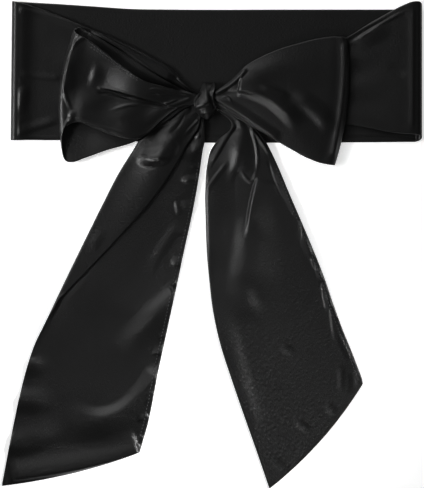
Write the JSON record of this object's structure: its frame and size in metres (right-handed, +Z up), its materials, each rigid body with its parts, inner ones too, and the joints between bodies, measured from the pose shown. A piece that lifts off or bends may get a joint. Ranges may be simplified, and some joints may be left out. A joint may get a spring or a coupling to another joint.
{
  "type": "satin sash",
  "caption": "Wide black satin sash tied in a bow with hanging tails, laid flat, its waist band folded to a flat loop.",
  "frame": {"origin": "middle of the bounding box in X and Y, on the table", "axes": "+X along the waist band to its right side, +Y from the tails to the band, +Z up from the table"},
  "size_m": [0.3114, 0.3608, 0.0181],
  "materials": {
    "satin": "satin"
  },
  "bodies": {
    "root": {"band_back": "satin", "band_front_left": "satin", "band_front_right": "satin", "tail_left": "satin", "tail_right": "satin", "bow_loop_left": "satin", "bow_loop_right": "satin", "knot": "satin"}
  },
  "joints": []
}
